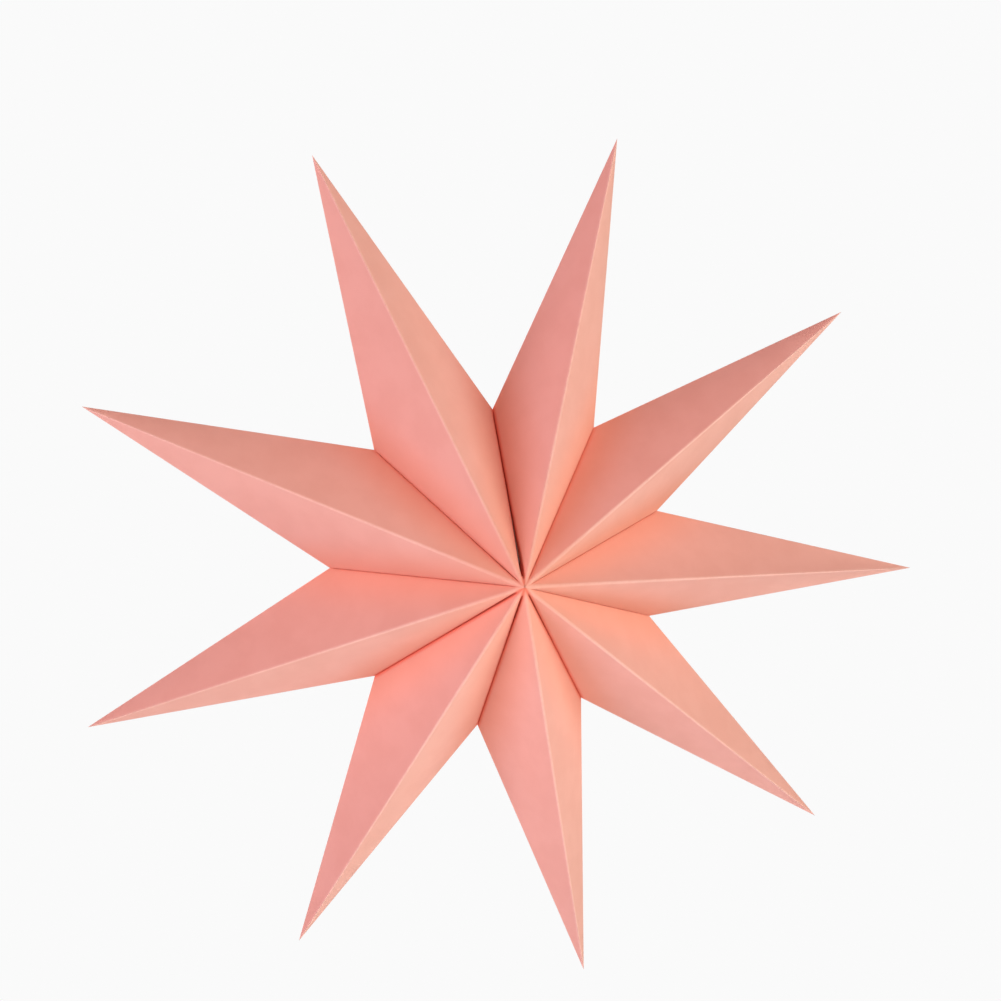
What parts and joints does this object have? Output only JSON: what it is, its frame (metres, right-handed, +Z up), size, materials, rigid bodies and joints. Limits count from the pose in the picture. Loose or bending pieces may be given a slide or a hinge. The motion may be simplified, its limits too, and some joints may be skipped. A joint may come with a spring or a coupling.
{
  "type": "paper star lantern",
  "caption": "Open star of folded card: hollow ridged points glued side by side round the middle, hung by its top seam as a paper lantern or decoration.",
  "frame": {"origin": "middle of the star: on its axis, halfway between the front centre and the back centre", "axes": "+Z up, through the closing seam between the first and the last point; the star's axis is Y and its front faces -Y; +X to the right as seen from the front"},
  "size_m": [0.2939, 0.075, 0.2943],
  "materials": {
    "card": "matte dyed card, salmon pink",
    "tape": "thin double-sided tape, off-white"
  },
  "bodies": {
    "root": {"point_1": "card", "point_2": "card", "point_3": "card", "point_4": "card", "point_5": "card", "point_6": "card", "point_7": "card", "point_8": "card", "point_9": "card", "closing_tape_front": "tape", "closing_tape_back": "tape"}
  },
  "joints": []
}
